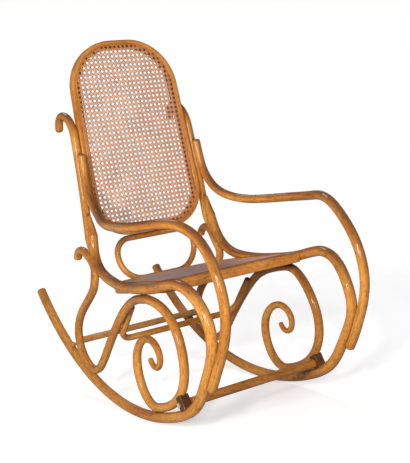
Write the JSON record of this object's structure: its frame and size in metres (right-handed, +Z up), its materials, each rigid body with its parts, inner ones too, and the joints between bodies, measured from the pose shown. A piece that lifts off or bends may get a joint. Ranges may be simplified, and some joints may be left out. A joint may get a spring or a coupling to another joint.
{
  "type": "rocking chair",
  "caption": "Bentwood rocking chair with caned back and seat, scrolled side frames, swept arms and curved rockers, free to rock on the floor.",
  "frame": {"origin": "on the floor, under the middle of the chair's length and width as it rests on its rockers", "axes": "the sitter faces -Y, +Z is up, the sitter's left hand is at +X"},
  "size_m": [0.561, 1.0993, 1.0404],
  "materials": {
    "beech": "varnished honey-brown bent beech",
    "cane": "natural woven cane",
    "reed": "varnished reed",
    "steel": "dull screw steel"
  },
  "bodies": {
    "root": {"rail_left": "beech", "rail_right": "beech", "arm_left": "beech", "arm_right": "beech", "stile_left": "beech", "stile_right": "beech", "scroll_left": "beech", "scroll_right": "beech", "back_frame": "beech", "seat_frame": "beech", "ring_brace": "beech", "bow": "beech", "front_stretcher": "beech", "rear_stretcher": "beech", "front_block_left": "beech", "front_block_right": "beech", "rear_spacer_left": "beech", "rear_spacer_right": "beech", "back_cane": "cane", "seat_cane": "cane", "back_spline": "reed", "seat_spline": "reed", "screws": "steel", "spacer_screws": "steel", "stretcher_bolts": "steel"}
  },
  "joints": []
}
